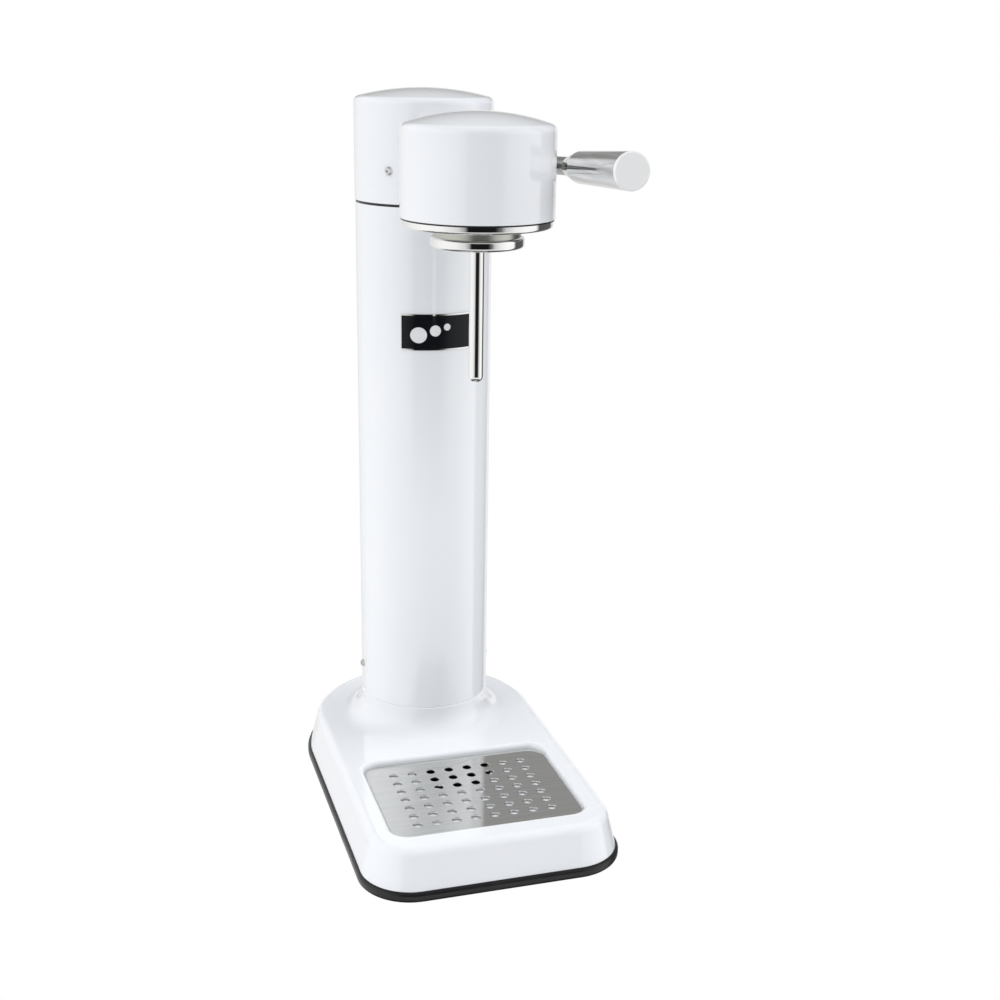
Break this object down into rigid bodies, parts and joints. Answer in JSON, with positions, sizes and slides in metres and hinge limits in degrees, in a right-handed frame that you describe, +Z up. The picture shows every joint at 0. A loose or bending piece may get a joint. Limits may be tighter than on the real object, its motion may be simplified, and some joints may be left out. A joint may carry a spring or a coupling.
{
  "type": "soda carbonator",
  "caption": "Counter-top carbonating machine: round column on a flat base with a drip plate, head with bottle socket and carbonation tube, side lever and gas cylinder inside.",
  "frame": {"origin": "on the table, under the centre of the footprint", "axes": "+Z up, the front with the drip plate and head faces -Y, the lever is on the +X side"},
  "size_m": [0.153, 0.258, 0.4196],
  "materials": {
    "white_lacquer": "gloss white lacquer",
    "black_rubber": "smooth black rubber",
    "black_lacquer": "satin black paint",
    "polished_steel": "mirror polished",
    "satin_steel": "finely brushed",
    "screw_steel": "bright stainless",
    "works_steel": "plain zinc-plated steel",
    "spring_steel": "drawn spring wire",
    "brass": "machined brass",
    "cast_aluminium": "as cast",
    "cylinder_paint": "satin grey",
    "hose_black": "reinforced black hose",
    "badge_black": "gloss black",
    "badge_white": "gloss white"
  },
  "bodies": {
    "machine": {"base_rim": "black_rubber", "base_housing": "white_lacquer", "floor_plate": "black_lacquer", "foot_pads": "black_rubber", "floor_screws": "screw_steel", "base_collar": "cast_aluminium", "collar_screws": "screw_steel", "drip_cup": "black_lacquer", "column_tube": "white_lacquer", "column_gasket": "black_rubber", "column_screws": "screw_steel", "top_collar": "cast_aluminium", "frame_screws": "screw_steel", "inner_frame": "works_steel", "guide_post": "works_steel", "upper_housing": "white_lacquer", "cap_screws": "screw_steel", "head_gasket": "black_rubber", "head_ring": "polished_steel", "bottle_socket": "polished_steel", "socket_seal": "black_rubber", "nozzle_block": "brass", "carbonation_tube": "polished_steel", "nozzle_tip": "polished_steel", "relief_body": "brass", "relief_cap": "brass", "relief_spring": "spring_steel", "cylinder_receiver": "brass", "receiver_seal": "black_rubber", "valve_spring": "spring_steel", "shaft_bush": "brass", "receiver_fitting": "brass", "nozzle_fitting": "brass", "gas_hose": "hose_black", "hose_clips": "works_steel", "badge_frame": "polished_steel", "badge_plate": "badge_black", "badge_bubbles": "badge_white"},
    "lever": {"lever_rod": "satin_steel", "lever_grip": "satin_steel", "grip_end_cap": "satin_steel", "crank_arm": "works_steel", "crank_pin": "works_steel", "shaft_clip": "works_steel"},
    "press": {"press_yoke": "works_steel", "actuator_pin": "works_steel"},
    "gas_bottle": {"gas_cylinder": "cylinder_paint", "cylinder_valve": "brass"},
    "valve_pin": {"valve_pin": "works_steel"},
    "drip_plate": {"drip_plate": "satin_steel"},
    "relief_poppet": {"relief_poppet": "brass"}
  },
  "joints": [
    {"name": "lever_pivot", "type": "hinge", "parent": "machine", "child": "lever", "pos_m": [0, -0.0036, 0.3796], "axis": [1, 0, 0], "range_deg": [0, 30], "stiffness_Nm_per_rad": 2, "springref_deg": -11.46},
    {"name": "press_slide", "type": "slide", "parent": "machine", "child": "press", "axis": [0, 0, -1], "range_m": [0, 0.0053], "deforming": ["valve_spring"]},
    {"name": "gas_bottle_slide", "type": "slide", "parent": "machine", "child": "gas_bottle", "axis": [0, 0, -1], "range_m": [0, 0.36]},
    {"name": "valve_pin_slide", "type": "slide", "parent": "gas_bottle", "child": "valve_pin", "axis": [0, 0, -1], "range_m": [0, 0.0052]},
    {"name": "drip_plate_lift", "type": "slide", "parent": "machine", "child": "drip_plate", "axis": [0, 0, 1], "range_m": [0, 0.04]},
    {"name": "relief_lift", "type": "slide", "parent": "machine", "child": "relief_poppet", "axis": [0, 0, 1], "range_m": [0, 0.003], "stiffness_N_per_m": 1500, "springref_m": -0.004, "deforming": ["relief_spring"]}
  ],
  "couplings": [
    {"joint": "press_slide", "follows": "lever_pivot", "m_per_rad": 0.009893},
    {"joint": "valve_pin_slide", "follows": "lever_pivot", "m_per_rad": 0.0097}
  ]
}
